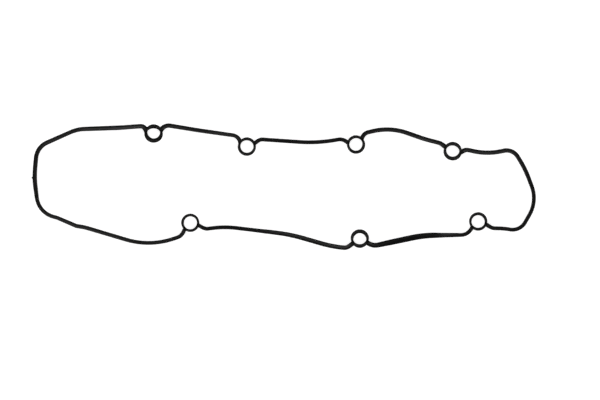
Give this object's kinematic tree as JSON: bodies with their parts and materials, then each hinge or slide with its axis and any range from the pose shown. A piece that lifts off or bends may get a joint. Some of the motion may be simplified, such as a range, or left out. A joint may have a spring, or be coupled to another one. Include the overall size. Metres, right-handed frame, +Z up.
{
  "type": "valve cover gasket",
  "caption": "Moulded rubber gasket loop with ring-shaped bolt eyelets along both long sides, seals a valve cover to a cylinder head.",
  "frame": {"origin": "under the middle of the gasket's length and width, on the surface it lies on", "axes": "+X along the gasket, +Y across it towards the side with more eyelets, +Z up"},
  "size_m": [0.4532, 0.114, 0.0116],
  "materials": {
    "rubber": "satin moulded rubber"
  },
  "bodies": {
    "root": {"gasket": "rubber"}
  },
  "joints": []
}
